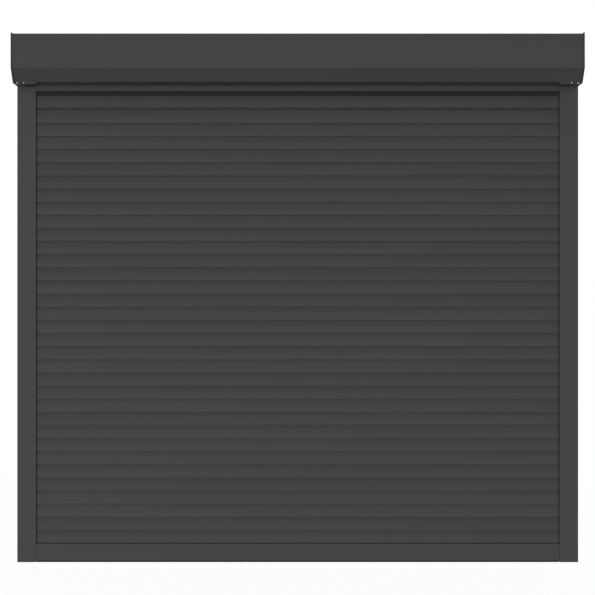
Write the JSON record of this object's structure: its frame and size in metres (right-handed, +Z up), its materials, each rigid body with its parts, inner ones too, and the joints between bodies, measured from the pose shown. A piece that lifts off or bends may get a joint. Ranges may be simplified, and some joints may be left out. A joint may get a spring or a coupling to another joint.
{
  "type": "exterior roller shutter",
  "caption": "Front-mounted roller shutter: bevelled box over two guide rails, with a curtain of hooked hollow slats and a bottom bar that a tube motor winds onto an octagonal shaft.",
  "frame": {"origin": "on the wall plane, in the middle of the opening, at the foot of the guide rails", "axes": "+X across the window to the right as seen from outside, +Y into the wall, +Z up"},
  "size_m": [1.6, 0.1374, 1.494],
  "materials": {
    "slat_coat": "roll-coated anthracite grey lacquer on roll-formed aluminium, satin",
    "frame_coat": "anthracite grey powder coat on aluminium, fine and satin",
    "cap_coat": "anthracite grey powder coat on cast aluminium, fine and satin",
    "black_rubber": "black extruded rubber, matt",
    "black_plastic": "black moulded plastic, matt",
    "bracket_steel": "zinc-plated steel",
    "spring_steel": "blued spring steel",
    "zinc_steel": "hot-dip galvanised sheet steel, rolled to an octagon",
    "motor_case": "plain metal motor tube",
    "bright_steel": "bright zinc-plated or polished steel"
  },
  "bodies": {
    "frame": {"guide_rail_left": "frame_coat", "guide_rail_right": "frame_coat", "rail_seals": "black_rubber", "rail_end_plugs": "black_plastic", "inlet_funnels": "black_plastic", "end_cap_left": "cap_coat", "end_cap_right": "cap_coat", "rear_casing": "frame_coat", "front_cover": "frame_coat", "tubular_motor": "motor_case", "motor_bracket": "bracket_steel", "bearing_outer_ring": "bright_steel", "bearing_holder": "bracket_steel", "cover_screws": "bright_steel", "casing_rivets": "cap_coat"},
    "curtain": {"slat_01": "slat_coat", "slat_02": "slat_coat", "slat_03": "slat_coat", "slat_04": "slat_coat", "slat_05": "slat_coat", "slat_06": "slat_coat", "slat_07": "slat_coat", "slat_08": "slat_coat", "slat_09": "slat_coat", "slat_10": "slat_coat", "slat_11": "slat_coat", "slat_12": "slat_coat", "slat_13": "slat_coat", "slat_14": "slat_coat", "slat_15": "slat_coat", "slat_16": "slat_coat", "slat_17": "slat_coat", "slat_18": "slat_coat", "slat_19": "slat_coat", "slat_20": "slat_coat", "slat_21": "slat_coat", "slat_22": "slat_coat", "slat_23": "slat_coat", "slat_24": "slat_coat", "slat_25": "slat_coat", "slat_26": "slat_coat", "slat_27": "slat_coat", "slat_28": "slat_coat", "slat_29": "slat_coat", "slat_30": "slat_coat", "slat_31": "slat_coat", "slat_32": "slat_coat", "slat_33": "slat_coat", "slat_34": "slat_coat", "bottom_bar": "frame_coat", "bottom_seal": "black_rubber", "curtain_end_clips": "black_plastic", "hanger_profile": "black_plastic"},
    "roll": {"winding_shaft": "zinc_steel", "motor_crown": "black_plastic", "drive_wheel": "black_plastic", "idler_capsule": "black_plastic", "idler_pin": "bright_steel", "bearing_inner_race": "bright_steel", "hanger_straps": "spring_steel"}
  },
  "joints": [
    {"name": "curtain_lift", "type": "slide", "parent": "frame", "child": "curtain", "axis": [0, 0, 1], "range_m": [0, 1.285], "deforming": ["slat_01", "slat_02", "slat_03", "slat_04", "slat_05", "slat_06", "slat_07", "slat_08", "slat_09", "slat_10", "slat_11", "slat_12", "slat_13", "slat_14", "slat_15", "slat_16", "slat_17", "slat_18", "slat_19", "slat_20", "slat_21", "slat_22", "slat_23", "slat_24", "slat_25", "slat_26", "slat_27", "slat_28", "slat_29", "slat_30", "slat_31", "slat_32", "slat_33", "slat_34", "curtain_end_clips", "hanger_profile", "hanger_straps"]},
    {"name": "shaft_spin", "type": "hinge", "parent": "frame", "child": "roll", "pos_m": [0, -0.067, 1.4255], "axis": [1, 0, 0], "range_deg": [0, 1801]}
  ],
  "couplings": [
    {"joint": "shaft_spin", "follows": "curtain_lift", "rad_per_m": 24.448}
  ]
}
